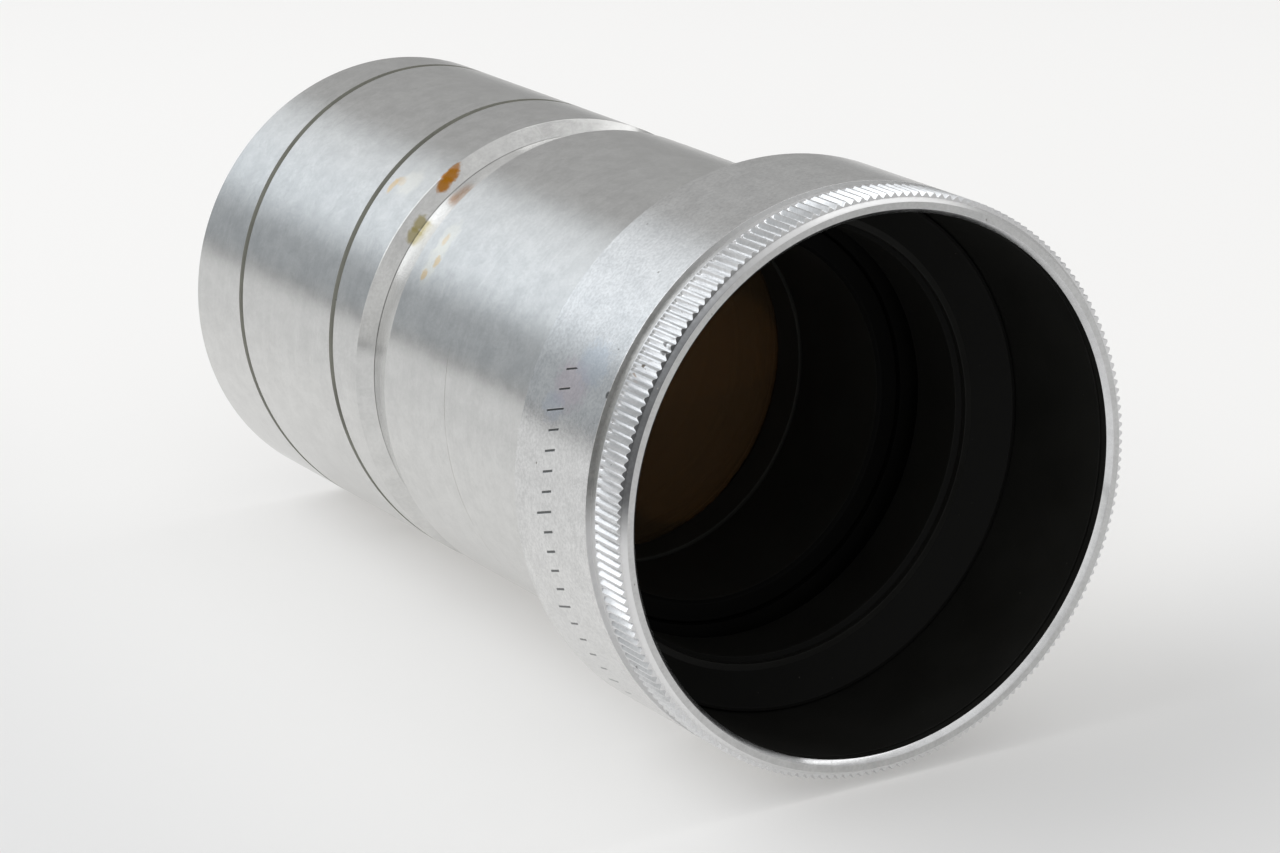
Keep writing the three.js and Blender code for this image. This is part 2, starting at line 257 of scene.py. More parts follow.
def index_marks(shade, colour, normal):
    """Engraved index strokes round the hood: short, evenly spaced and slanted, every fifth one long."""
    band_start, stroke, long_stroke = 11.0 * MM, 1.5 * MM, 2.4 * MM
    first_degrees, last_degrees, slant_degrees = -136.0, -62.0, 0.7 / MM
    spacing, width = 4.0, 0.075
    degrees, y = shade.around()
    depth = shade.math("SUBTRACT", y, RIM_Y)
    slant = shade.math("MULTIPLY", shade.math("SUBTRACT", depth, band_start), slant_degrees)
    shifted = shade.math("ADD", degrees, slant)
    phase = shade.math("FRACT", shade.math("DIVIDE", shifted, spacing))
    line = shade.smooth(shade.math("ABSOLUTE", shade.math("SUBTRACT", phase, 0.5)), width, width * 0.5)
    fifth = shade.math("FRACT", shade.math("DIVIDE", shifted, 5 * spacing))
    is_long = shade.math("LESS_THAN", shade.math("ABSOLUTE", shade.math("SUBTRACT", fifth, 0.5)), 0.1)
    reach = shade.math("MULTIPLY_ADD", is_long, long_stroke - stroke, stroke)
    band_end = shade.math("ADD", reach, band_start)
    limits = (
        ("GREATER_THAN", depth, band_start),
        ("LESS_THAN", depth, band_end),
        ("GREATER_THAN", degrees, first_degrees),
        ("LESS_THAN", degrees, last_degrees),
    )
    cut = line
    for side, value, limit in limits:
        cut = shade.math("MULTIPLY", cut, shade.math(side, value, limit))
    colour = shade.mix(shade.math("MULTIPLY", cut, 0.9), colour, INK)
    return colour, shade.bump(shade.math("MULTIPLY", cut, -1.0), 0.04 * MM, 1.0, normal)


def upper_left_shade(shade, colour, normal):
    """Painted shade beside the teeth, on the upper left side only; elsewhere a plain light grey."""
    unshaded_grey = rgb(0.82, 0.82, 0.82)
    degrees, _ = shade.around()
    from_left, from_top = shade.smooth(degrees, -92.0, -80.0), shade.smooth(degrees, -15.0, -50.0)
    return shade.mix(shade.math("MULTIPLY", from_left, from_top), unshaded_grey, colour), normal


def scuff_line(shade, colour, normal):
    """One faint scratch part of the way round the barrel, creeping forward as it goes down."""
    depth_at_top, creep_per_degree = 39.35 * MM, 0.037 * MM
    degrees, y = shade.around()
    depth = shade.math("SUBTRACT", y, RIM_Y)
    path = shade.math("MULTIPLY_ADD", degrees, creep_per_degree, depth_at_top)
    off = shade.math("ABSOLUTE", shade.math("SUBTRACT", depth, path))
    line = shade.smooth(off, 0.07 * MM, 0.02 * MM)
    upper, lower = shade.smooth(degrees, -66.0, -80.0), shade.smooth(degrees, -132.0, -118.0)
    ends = shade.math("MULTIPLY", upper, lower)
    broken = shade.smooth(shade.noise((500.0, 500.0, 500.0), detail=2.0), 0.3, 0.5)
    cut = shade.math("MULTIPLY", shade.math("MULTIPLY", line, ends), broken)
    colour = shade.mix(shade.math("MULTIPLY", cut, 0.45), colour, rgb(0.3, 0.27, 0.22))
    return colour, shade.bump(shade.math("MULTIPLY", cut, -1.0), 0.01 * MM, 1.0, normal)


def matt_lacquer_and_shade(name, base, roughness, specular):
    """Matt lacquer over turned metal, with rings, dust and thin patches; the sleeve's groove uses it as
    painted shade. base is its mean grey.
    """
    thick, thin, bare = (rgb(base * k, base * k, base * w) for k, w in ((0.7, 0.62), (1.5, 1.35), (4, 4)))
    shade = Shade(name, Specular_IOR_Level=specular)
    normal, lines = add_rings(shade, 3500.0, 1100.0, 0.01 * MM)
    cloud = shade.noise((200.0, 200.0, 200.0), detail=4.0)
    colour = shade.mix(cloud, thick, thin)
    streak = shade.smooth(lines, 0.62, 0.8)
    colour = shade.mix(shade.math("MULTIPLY", streak, 0.5), colour, bare)
    dust = shade.noise((2600.0, 2600.0, 2600.0), detail=1.0, offset=(1.0, 4.0, 2.0))
    colour = shade.mix(shade.smooth(dust, 0.79, 0.83), colour, DUST_TINT)
    shade.link(colour, "Base Color")
    shade.link(shade.math("ADD", shade.spread(cloud, -0.07, 0.07), roughness), "Roughness")
    shade.link(normal, "Normal")
    return shade.material


def turned_brass(name):
    """Plain brass with turning marks, dulled in clouds."""
    shade = Shade(name, Metallic=1.0)
    normal, lines = add_rings(shade, 5000.0, 1200.0, 0.004 * MM)
    cloud = shade.noise((300.0, 300.0, 300.0), detail=4.0)
    shade.link(shade.mix(cloud, rgb(0.45, 0.3, 0.11), rgb(0.66, 0.48, 0.22)), "Base Color")
    shade.link(shade.spread(cloud, 0.28, 0.42), "Roughness")
    shade.link(normal, "Normal")
    return shade.material


def coated_glass(name, tint, transmission):
    """Optical glass with a warm coating bloom, a tint of its own colour and a little dust; the front
    element's brown tint is painted reflection.
    """
    shade = Shade(name, Transmission_Weight=transmission, IOR=1.6)
    shade.shader.inputs["Specular Tint"].default_value = rgb(1.0, 0.62, 0.3)
    haze = shade.noise((120.0, 120.0, 120.0), detail=3.0)
    colour = shade.mix(haze, rgb(*[c * 0.85 for c in tint]), rgb(*tint))
    dust = shade.noise((1800.0, 1800.0, 1800.0), detail=1.0)
    colour = shade.mix(shade.smooth(dust, 0.74, 0.8), colour, rgb(0.3, 0.28, 0.24))
    shade.link(colour, "Base Color")
    shade.link(shade.spread(haze, 0.02, 0.07), "Roughness")
    return shade.material


# ---------------------------------------------------------------- turned meshes

SEGMENTS = 288
CORNER_STEPS = 3
ARC_STEPS = 14
SHARP_TURN = math.radians(12)
CORNER_SHARE = 0.35  # the most of a side that one rounded corner may take
EDGE = 0.08 * MM
FINE_EDGE = 0.035 * MM


def meridian(node):
    """The outline of a turned CAD node as (radius, y) points in order, anticlockwise.

    Read where the node's mesh crosses one half-plane. It starts and ends on the axis, or it is a loop.
    """
    mesh = frame["nodes"][node].data
    points = np.array([v.co for v in mesh.vertices], float)
    degrees = np.degrees(np.arctan2(points[:, 0], points[:, 2]))
    radii = np.hypot(points[:, 0], points[:, 2])
    off_axis = radii > 0.01 * MM
    column = np.min(degrees[off_axis & (degrees > 0.5)])
    flat = math.cos(math.radians(column))
    found = {}
    for i in np.flatnonzero((np.abs(degrees - column) < 0.02) | ~off_axis):
        found[i] = (round(radii[i] * flat / MM, 3), round(points[i, 1] / MM, 3))
    near = {}
    for a, b in (tuple(e.vertices) for e in mesh.edges):
        if a in found and b in found and found[a] != found[b]:
            near.setdefault(found[a], []).append(found[b])
            near.setdefault(found[b], []).append(found[a])
    ends = sorted(p for p in near if p[0] == 0)
    outline = [ends[0] if ends else min(near)]
    while True:
        onward = [p for p in near[outline[-1]] if p not in outline]
        if not onward:
            break
        outline.append(onward[0])
    outline = [(r * MM, y * MM) for r, y in outline]
    return outline if area(outline) > 0 else outline[::-1]


def area(outline):
    """The signed area inside an outline, above 0 when it runs anticlockwise."""
    pairs = zip(outline, outline[1:] + outline[:1])
    return sum(a[0] * b[1] - b[0] * a[1] for a, b in pairs) / 2


def length(v):
    return float(np.hypot(*v))


def unit(v):
    return v / max(1e-12, length(v))


def outward(direction):
    """The outward normal of an outline's side that runs in this direction."""
    return np.array((direction[1], -direction[0]))


def angle_between(a, b):
    return math.acos(max(-1.0, min(1.0, float(a @ b))))


def arc_runs(outline):
    """Resamples each smooth run of an outline, such as a glass surface, as a true arc."""
    closed = outline[0][0] > 0
    points = [np.array(p) for p in outline]
    if closed:
        return points, set()
    corners = [0]
    for i in range(1, len(points) - 1):
        a, b = unit(points[i] - points[i - 1]), unit(points[i + 1] - points[i])
        if angle_between(a, b) > SHARP_TURN:
            corners.append(i)
    corners.append(len(points) - 1)
    made, arcs = [points[0]], set()
    for start, end in zip(corners, corners[1:]):
        if end - start < 3:
            made.extend(points[start + 1:end + 1])
            continue
        from_axis = points[start][0] == 0
        apex, edge = (points[start], points[end]) if from_axis else (points[end], points[start])
        sag = edge[1] - apex[1]
        reach = edge[0]
        radius = (reach * reach + sag * sag) / (2 * sag)
        for k in range(1, ARC_STEPS + 1):
            share = k / ARC_STEPS
            r = reach * (share if from_axis else 1 - share)
            y = apex[1] + radius - math.copysign(math.sqrt(radius * radius - r * r), radius)
            arcs.add(len(made) - 1)
            made.append(np.array((r, y)))
    return made, arcs


def soften(outline, size):
    """Rounds an outline's corners. Returns its pieces as (start, end, normal at start, normal at end)."""
    points, arcs = arc_runs(outline)
    closed = points[0][0] > 0
    count = len(points)
    sides = []
    for i in range(count if closed else count - 1):
        a, b = points[i], points[(i + 1) % count]
        normal = outward(unit(b - a))
        sides.append([a, b, normal, normal])
    for i in arcs:
        for other, end, mine in ((i - 1, 3, 2), (i + 1, 2, 3)):
            if other in arcs:
                blended = unit(sides[i][mine] + sides[other][end])
                sides[i][mine] = blended
                sides[other][end] = blended
    total = len(sides)
    pieces = []
    for i in range(total):
        side = sides[i]
        last = not closed and i == total - 1
        following = sides[(i + 1) % total]
        turn = 0.0 if last else angle_between(side[3], following[2])
        if last or turn < SHARP_TURN:
            pieces.append(side)
            continue
        corner = side[1].copy()
        before, after = side[0] - corner, following[1] - corner
        cut = min(size, CORNER_SHARE * length(before), CORNER_SHARE * length(after))
        start, end = corner + unit(before) * cut, corner + unit(after) * cut
        side[1] = start
        following[0] = end
        pieces.append(side)
        previous = start
        for k in range(1, CORNER_STEPS + 1):
            t, t_before = k / CORNER_STEPS, (k - 1) / CORNER_STEPS
            point = (1 - t) ** 2 * start + 2 * t * (1 - t) * corner + t * t * end
            normal_a, normal_b = (unit((1 - u) * side[3] + u * following[2]) for u in (t_before, t))
            pieces.append([previous, point, normal_a, normal_b])
            previous = point
    if closed:
        pieces[0][0] = pieces[-1][1]
    return pieces


def mesh_object(name, vertices, faces, materials=(), numbers=None):
    """A mesh in the scene. numbers gives each face's place in materials."""
    mesh = bpy.data.meshes.new(name)
    mesh.from_pydata(vertices, [], faces)
    for material in materials:
        mesh.materials.append(material)
    if numbers is not None:
        mesh.polygons.foreach_set("material_index", numbers)
    made = bpy.data.objects.new(name, mesh)
    bpy.context.scene.collection.objects.link(made)
    return made


def revolve(name, pieces, materials, pick=None):
    """Turns an outline about the optical axis, with exact normals.

    pick takes a side's middle and normal, and gives the number of its material.
    """
    turns = 2 * math.pi * np.arange(SEGMENTS) / SEGMENTS
    sines, cosines = np.sin(turns), np.cos(turns)
    closed = pieces[0][0][0] > 0
    profile = [p[0] for p in pieces] + ([] if closed else [pieces[-1][1]])
    vertices, rings = [], []
    for r, y in profile:
        if r < 1e-9:
            rings.append([len(vertices)] * SEGMENTS)
            vertices.append((0.0, y, 0.0))
            continue
        rings.append(list(range(len(vertices), len(vertices) + SEGMENTS)))
        vertices.extend(zip(r * sines, np.full(SEGMENTS, y), r * cosines))
    faces, normals, numbers = [], [], []
    for i, (start, end, normal_a, normal_b) in enumerate(pieces):
        low, high = rings[i], rings[(i + 1) % len(rings)]
        number = pick((start + end) / 2, normal_a) if pick else 0
        for j in range(SEGMENTS):
            k = (j + 1) % SEGMENTS
            corners = [(low[j], normal_a, j), (low[k], normal_a, k)]
            corners += [(high[k], normal_b, k), (high[j], normal_b, j)]
            kept = []
            for corner in corners:
                if not kept or corner[0] not in [c[0] for c in kept]:
                    kept.append(corner)
            faces.append([c[0] for c in kept])
            normals.extend((n[0] * sines[t], n[1], n[0] * cosines[t]) for _, n, t in kept)
            numbers.append(number)
    made = mesh_object(name, vertices, faces, materials, numbers)
    made.data.shade_smooth()
    made.data.normals_split_custom_set(normals)
    return made


def body_of(node):
    return frame["nodes"][node]["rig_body"]


def stand_for(made, node):
    """Makes a fine piece take its CAD node's place, on the same body."""
    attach(made, body_of(node))
    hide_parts(node)
    return made


def refine(node, *materials, pick=None, edge=EDGE):
    """Replaces a turned CAD node with a fine mesh of the same outline and softened edges."""
    made = revolve("fine_" + node, soften(meridian(node), edge), materials, pick)
    return stand_for(made, node)


# ---------------------------------------------------------------- materials of this lens

BARREL_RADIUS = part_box("barrel_tube")[1].x
HOOD_RADIUS = CAD_BOUNDS[1].x


def on_hood(degrees, depth_mm):
    return point_on(HOOD_RADIUS, degrees, RIM_Y + depth_mm * MM)


def stain_at(degrees, depth_mm, under_mm=0.0):
    """A place on the outside; under_mm is how far the surface lies below the barrel's there."""
    return point_on(BARREL_RADIUS - under_mm * MM, degrees, RIM_Y + depth_mm * MM)


def blob(length_mm, across_mm):
    return Vector((across_mm, length_mm, across_mm)) * MM


TAPER_ORANGE_REFLECTION, OLIVE, PALE = rgb(0.42, 0.17, 0.015), rgb(0.36, 0.3, 0.1), rgb(0.84, 0.82, 0.74)
AMBER = rgb(0.75, 0.48, 0.16)
SLEEVE_STAINS_AND_REFLECTION = [
    # The orange blotches on the taper are painted reflection; the others are stains.
    (stain_at(-34.5, 52.6, 0.4), blob(0.45, 0.9), TAPER_ORANGE_REFLECTION, 0.95),
    (stain_at(-31.8, 52.75, 0.2), blob(0.5, 1.0), TAPER_ORANGE_REFLECTION, 0.95),
    (stain_at(-29.5, 52.95), blob(0.42, 0.8), TAPER_ORANGE_REFLECTION, 0.8),
    (stain_at(-46.0, 52.15, 0.9), blob(0.45, 0.9), OLIVE, 0.75),
    (stain_at(-49.5, 52.05, 1.0), blob(0.42, 0.9), OLIVE, 0.75),
    (stain_at(-40.3, 58.7), blob(0.4, 0.9), AMBER, 0.5),
    (stain_at(-38.5, 58.0), blob(0.9, 0.5), AMBER, 0.35),
    (stain_at(-38.0, 56.6), blob(1.6, 1.6), PALE, 0.4),
]
BARREL_STAINS = [
    (stain_at(-47.5, 44.9), blob(1.2, 2.0), PALE, 0.45),
    (stain_at(-53.0, 44.9), blob(1.2, 2.0), PALE, 0.45),
    (stain_at(-57.0, 45.0), blob(0.9, 1.2), PALE, 0.35),
    (stain_at(-53.5, 44.3), blob(0.45, 0.6), AMBER, 0.5),
    (stain_at(-57.6, 45.2), blob(0.45, 0.6), AMBER, 0.55),
    (stain_at(-47.8, 45.0), blob(0.4, 0.6), AMBER, 0.35),
]
HOOD_STAINS = [
    (on_hood(-65.4, 11.0), blob(2.6, 2.2), rgb(0.74, 0.6, 0.66), 0.4),
    (on_hood(-60.0, 9.0), blob(2.4, 2.0), rgb(0.6, 0.67, 0.76), 0.4),
    (on_hood(-70.5, 12.6), blob(1.6, 1.4), rgb(0.6, 0.66, 0.78), 0.3),
    (on_hood(-64.3, 5.5), blob(0.25, 0.3), rgb(0.08, 0.075, 0.07), 0.8),
]
KNURL_SPECKS = [
    (on_hood(-52.7, 0.9), blob(0.45, 0.35), rgb(0.1, 0.095, 0.09), 0.85),
    (on_hood(-51.4, 1.3), blob(0.3, 0.3), rgb(0.1, 0.095, 0.09), 0.8),
    (on_hood(-56.6, 2.5), blob(0.22, 0.22), rgb(0.12, 0.09, 0.06), 0.9),
    (on_hood(-59.0, 3.2), blob(0.3, 0.25), rgb(0.35, 0.24, 0.15), 0.7),
    (on_hood(-118.0, 2.8), blob(0.25, 0.25), rgb(0.12, 0.11, 0.1), 0.7),
]

SATIN = (0.665, 0.665, 0.655)
HOOD_SATIN = (0.71, 0.71, 0.705)
satin_hood = turned_aluminium(
    "satin_hood", HOOD_SATIN, 0.19, 0.0015 * MM, grain=0.05, blotches=HOOD_STAINS, marks=index_marks
)
satin_barrel = turned_aluminium(
    "satin_barrel", SATIN, 0.2, 0.0015 * MM, blotches=BARREL_STAINS, marks=scuff_line
)
satin_sleeve = turned_aluminium("satin_sleeve", SATIN, 0.2, 0.0015 * MM, blotches=SLEEVE_STAINS_AND_REFLECTION)
knurl_metal = turned_aluminium(
    "knurl_metal", (0.74, 0.745, 0.75), 0.3, 0.003 * MM, grain=0.02, blotches=KNURL_SPECKS
)
rim_metal = turned_aluminium("rim_metal", (0.62, 0.62, 0.615), 0.3, 0.004 * MM, grain=0.02)
# Dark grey on the outer chamfer in front of the teeth: painted shade, on the upper left side only.
chamfer_shade = turned_aluminium(
    "chamfer_shade", (0.17, 0.173, 0.177), 0.38, 0.004 * MM, grain=0.06, marks=upper_left_shade
)
bevel_metal = turned_aluminium("bevel_metal", (0.76, 0.765, 0.77), 0.18, 0.002 * MM)
# The groove behind the knurl: darker grey on the upper left side, painted shade in the recess.
groove_metal = turned_aluminium(
    "groove_metal", (0.48, 0.48, 0.47), 0.4, 0.004 * MM, grain=0.06, marks=upper_left_shade
)
bore_black = matt_lacquer_and_shade("bore_black", base=0.012, roughness=0.55, specular=0.2)
baffle_black = matt_lacquer_and_shade("baffle_black", base=0.006, roughness=0.6, specular=0.12)
face_black = matt_lacquer_and_shade("face_black", base=0.003, roughness=0.6, specular=0.08)
cell_black = matt_lacquer_and_shade("cell_black", base=0.02, roughness=0.6, specular=0.12)
ring_black = matt_lacquer_and_shade("ring_black", base=0.032, roughness=0.55, specular=0.15)
# A mid grey in the sleeve's helical groove: painted shade in the recess.
recess_shade = matt_lacquer_and_shade("groove_shade", base=0.36, roughness=0.6, specular=0.3)
brass = turned_brass("turned_brass")
# The front glass's brown colour is painted reflection; its orange specular tint is the lit coating.
front_glass = coated_glass("front_glass", (0.3, 0.2, 0.11), transmission=0.75)
inner_glass = coated_glass("inner_glass", (0.9, 0.8, 0.6), transmission=1.0)

# ---------------------------------------------------------------- hood

hood_outline = meridian("hood_shell")
MOUTH_RADIUS = min(r for r, y in hood_outline if y < min(y for _, y in hood_outline) + 0.01 * MM)
HOOD_GROOVE_END = 5.45 * MM
HOOD_BACK_FACE = 17.0 * MM
HOOD_NECK_END = 23.0 * MM


def hood_finish(middle, normal):
    """The hood's bore and its neck's end are lacquered; the groove behind the knurl takes painted shade
    on its upper left side.
    """
    radius, depth = middle[0], middle[1] - RIM_Y
    on_back_face = normal[1] > 0.5 and depth > HOOD_BACK_FACE
    inside = radius < MOUTH_RADIUS + 0.5 * MM and normal[0] < 0.5 and not on_back_face
    if inside or depth > HOOD_NECK_END:
        return 1
    in_groove = depth < HOOD_GROOVE_END and radius < HOOD_RADIUS - 0.02 * MM
    return 2 if in_groove else 0


def face_or_wall(middle, normal):
    """Faces that look towards the mouth get the duller lacquer."""
    return 1 if normal[1] < -0.5 else 0


refine("hood_shell", satin_hood, bore_black, groove_metal, pick=hood_finish, edge=FINE_EDGE)
refine("hood_funnel", bore_black, baffle_black, pick=face_or_wall)

KNURL_TEETH = 200
TOOTH_PLACES = (0.0, 0.07, 0.4, 0.6, 0.93)
TOOTH_HEIGHTS = (0.0, 0.0, 1.0, 1.0, 0.0)
KNURL_DEPTH = 0.35 * MM
KNURL_SHARP_ANGLE = math.radians(27)
RIM_CHAMFER = 0.35 * MM
BEVEL_REACH = 0.36 * MM
BEVEL_DEPTH = 0.48 * MM


def knurled_ring():
    """The front ring: inner bevel, flat rim face, outer chamfer, and teeth from the rim to a ridge.

    Each row is a radius, a place along the axis, and whether the teeth cut it. The offsets of a few
    hundredths of a millimetre are softened edges.
    """
    low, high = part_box("knurled_front_ring")
    tip = high.x
    root = tip - KNURL_DEPTH
    shoulder = root - 0.1 * MM
    ridge = root + 0.55 * KNURL_DEPTH
    teeth_start = low.y + 0.5 * MM
    lip_end = low.y + 1.2 * MM
    bore = MOUTH_RADIUS + 0.8 * MM
    smooth, toothed = False, True
    finishes = [knurl_metal, bore_black, rim_metal, chamfer_shade, bevel_metal]
    # The outer chamfer and the neck in front of the teeth take the painted shade (number 3).
    row_finish = [1, 4, 4, 2, 3, 3, 3, 3, 0, 0, 0, 0, 0, 0, 0, 1]
    rows = [
        (MOUTH_RADIUS, lip_end, smooth),
        (MOUTH_RADIUS, low.y + BEVEL_DEPTH, smooth),
        (MOUTH_RADIUS + 0.85 * BEVEL_REACH, low.y + 0.15 * BEVEL_DEPTH, smooth),
        (MOUTH_RADIUS + 1.1 * BEVEL_REACH, low.y, smooth),
        (root - RIM_CHAMFER - 0.04 * MM, low.y, smooth),
        (root - RIM_CHAMFER + 0.02 * MM, low.y + 0.05 * MM, smooth),
        (shoulder, teeth_start - 0.03 * MM, smooth),
        (shoulder + 0.02 * MM, teeth_start, smooth),
        (tip - 0.05 * MM, teeth_start, toothed),
        (tip, teeth_start + 0.06 * MM, toothed),
        (tip, high.y - 0.4 * MM, toothed),
        (ridge, high.y - 0.22 * MM, smooth),
        (ridge, high.y - 0.12 * MM, smooth),
        (ridge - 0.12 * MM, high.y, smooth),
        (bore, high.y, smooth),
        (bore, lip_end, smooth),
    ]
    places = (np.arange(KNURL_TEETH)[:, None] + np.array(TOOTH_PLACES)[None, :]).ravel()
    turns = 2 * math.pi * places / KNURL_TEETH
    tooth = root + KNURL_DEPTH * np.tile(TOOTH_HEIGHTS, KNURL_TEETH)
    columns = len(turns)
    vertices = []
    for r, y, cut in rows:
        radii = np.minimum(r, tooth) if cut else np.full(columns, r)
        vertices.extend(zip(radii * np.sin(turns), np.full(columns, y), radii * np.cos(turns)))
    faces, numbers = [], []
    for i in range(len(rows)):
        following = (i + 1) % len(rows)
        below, above = i * columns, following * columns
        for j in range(columns):
            k = (j + 1) % columns
            faces.append((below + j, below + k, above + k, above + j))
            numbers.append(row_finish[i])
    made = mesh_object("fine_knurled_front_ring", vertices, faces, finishes, numbers)
    made.data.shade_smooth()
    made.data.set_sharp_from_angle(angle=KNURL_SHARP_ANGLE)
    return stand_for(made, "knurled_front_ring")


knurled_ring()

# ---------------------------------------------------------------- barrel and sleeve

BLACK_FROM, BLACK_TO = RIM_Y + 18.0 * MM, RIM_Y + 50.0 * MM


def tube_is_black(middle, normal):
    """The tube is lacquered inside, with the shoulder behind the hood's thread; the rest is bare."""
    inside = middle[0] < BARREL_RADIUS - 0.5 * MM and normal[0] < 0.5
    return 1 if inside and BLACK_FROM < middle[1] < BLACK_TO else 0


refine("barrel_tube", satin_barrel, face_black, pick=tube_is_black, edge=FINE_EDGE)

GROOVE_WIDTH = 0.8 * MM
GROOVE_DEPTH = 1.1 * MM
GROOVE_PITCH = 18.8 * MM
GROOVE_START = RIM_Y + 54.2 * MM
GROOVE_CROSSING = RIM_Y + 59.3 * MM
GROOVE_CROSSING_DEGREES = 300.5
GROOVE_STEPS_PER_TURN = 96
GROOVE_OVERRUN = 1.0 * MM
SLEEVE_CHAMFER = 1.1 * MM
END_CHAMFER = 0.25 * MM
SOCKET_RADIUS = 19.6 * MM


def helix_bar():
    """A square bar along the focusing groove, running out past the sleeve's end."""
    lead = 2 * math.pi * (GROOVE_START - GROOVE_CROSSING) / GROOVE_PITCH
    first = math.radians(GROOVE_CROSSING_DEGREES) + lead
    turns = (END_Y + GROOVE_OVERRUN - GROOVE_START) / GROOVE_PITCH
    steps = math.ceil(turns * GROOVE_STEPS_PER_TURN)
    inner, outer = BARREL_RADIUS - GROOVE_DEPTH, BARREL_RADIUS + GROOVE_OVERRUN
    half = GROOVE_WIDTH / 2
    vertices = []
    for i in range(steps + 1):
        turn = first + 2 * math.pi * turns * i / steps
        y = GROOVE_START + turns * GROOVE_PITCH * i / steps
        for r, shift in ((inner, -half), (outer, -half), (outer, half), (inner, half)):
            vertices.append((r * math.sin(turn), y + shift, r * math.cos(turn)))
    faces = [(0, 1, 2, 3), tuple(4 * steps + k for k in (3, 2, 1, 0))]
    for i in range(steps):
        for k in range(4):
            a, b = 4 * i + k, 4 * i + (k + 1) % 4
            faces.append((b, a, a + 4, b + 4))
    return mesh_object("helix_bar", vertices, faces)


def sleeve_outline():
    """The sleeve's outline without its groove, from the socket that the barrel screws into."""
    low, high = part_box("rear_sleeve")
    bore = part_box("main_cell")[1].x + 0.2 * MM
    socket_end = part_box("barrel_tube")[1].y + 0.3 * MM
    shoulder = low.y + SLEEVE_CHAMFER
    valley = max(r for r, y in meridian("barrel_tube") if abs(y - low.y) < 0.2 * MM)
    return [
        (SOCKET_RADIUS, low.y),
        (valley, low.y),
        (BARREL_RADIUS, shoulder),
        (BARREL_RADIUS, high.y - END_CHAMFER),
        (BARREL_RADIUS - END_CHAMFER, high.y),
        (bore, high.y),
        (bore, socket_end),
        (SOCKET_RADIUS, socket_end),
    ]


def cut_away(made, tool):
    """Cuts a tool object out of a mesh object, and removes the tool."""
    cut = made.modifiers.new("cut", "BOOLEAN")
    cut.object = tool
    cut.operation = "DIFFERENCE"
    cut.solver = "EXACT"
    bpy.context.view_layer.update()
    evaluated = made.evaluated_get(bpy.context.evaluated_depsgraph_get())
    mesh = bpy.data.meshes.new_from_object(evaluated)
    made.modifiers.clear()
    made.data = mesh
    bpy.data.objects.remove(tool)


def rear_sleeve():
    """The sleeve with its helical groove. The cut mesh gets its finishes and exact normals again."""
    pieces = soften(sleeve_outline(), FINE_EDGE)
    # The third finish, for the groove's faces, is the painted recess shade.
    made = revolve("fine_rear_sleeve", pieces, [satin_sleeve, bore_black, recess_shade])
    cut_away(made, helix_bar())
    cut_mesh = made.data
    low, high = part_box("rear_sleeve")
    shoulder = low.y + SLEEVE_CHAMFER
    points = np.array([v.co for v in cut_mesh.vertices], float)
    radii = np.hypot(points[:, 0], points[:, 2])
    normals, numbers = [], []
    for face in cut_mesh.polygons:
        middle = face.center
        reach = math.hypot(middle.x, middle.z)
        slope = (face.normal.x * middle.x + face.normal.z * middle.z) / reach
        past_ends = middle.y < shoulder + EDGE or middle.y > high.y - END_CHAMFER - EDGE
        on_outside = reach > BARREL_RADIUS - 0.05 * MM and slope > 0.99
        near_outside = reach > BARREL_RADIUS - GROOVE_DEPTH - 0.05 * MM
        in_groove = near_outside and not past_ends and not on_outside
        in_bore = reach < SOCKET_RADIUS + EDGE and middle.y < high.y - EDGE
        numbers.append(2 if in_groove else 1 if in_bore else 0)
        for i in face.vertices:
            x, _, z = points[i] / radii[i]
            turned = Vector((slope * x, face.normal.y, slope * z))
            normals.append(tuple(face.normal if in_groove else turned.normalized()))
    cut_mesh.polygons.foreach_set("material_index", numbers)
    cut_mesh.shade_smooth()
    cut_mesh.normals_split_custom_set(normals)
    return stand_for(made, "rear_sleeve")


rear_sleeve()

# ---------------------------------------------------------------- inside the barrel

refine("light_trap_tube", cell_black, face_black, pick=face_or_wall)
for node in ("front_cell", "main_cell", "rear_cell", "aperture_stop", "rear_baffle_ring"):
    refine(node, cell_black)
for node in ("front_retaining_ring", "middle_retaining_ring", "rear_retaining_ring"):
    refine(node, ring_black)
refine("spacing_shim", brass)
refine("cell_lock_ring", brass)
refine("front_element", front_glass)
for node in ("middle_element", "doublet_flint", "doublet_crown"):
    refine(node, inner_glass)

# ---------------------------------------------------------------- floor, light and camera

# The hood is wider than the sleeve, so the lens rests on the hood's back edge and the sleeve's end.
WIDE_PART_LENGTH = 11.6 * MM
rest_front = Vector((0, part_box("hood_shell")[0].y + WIDE_PART_LENGTH, -HOOD_RADIUS))
rest_back = Vector((0, END_Y, -BARREL_RADIUS))
FLOOR_TILT = math.atan2(rest_back.z - rest_front.z, rest_back.y - rest_front.y)
FLOOR_SIZE = 6.0
FLOOR_FADE = (0.2, 0.95)  # distances over which the floor fades, in metres
FLOOR_TINTS = (rgb(0.575, 0.573, 0.568), rgb(0.59, 0.588, 0.584))
# Far away the floor's colour darkens to this grey: painted shade.
FAR_TINT = rgb(0.32, 0.32, 0.32)
# Painted light from below, glowing from the floor: in front of the lens, behind it, at its left side, and
# far away.
GLOW_FRONT, GLOW_BACK = rgb(0.18, 0.18, 0.18), rgb(0.335, 0.33, 0.322)
GLOW_LEFT, GLOW_FAR = rgb(0.19, 0.19, 0.19), rgb(0.06, 0.06, 0.06)
GLOW_SLANT = -0.37

bpy.context.scene.view_settings.view_transform = "Standard"


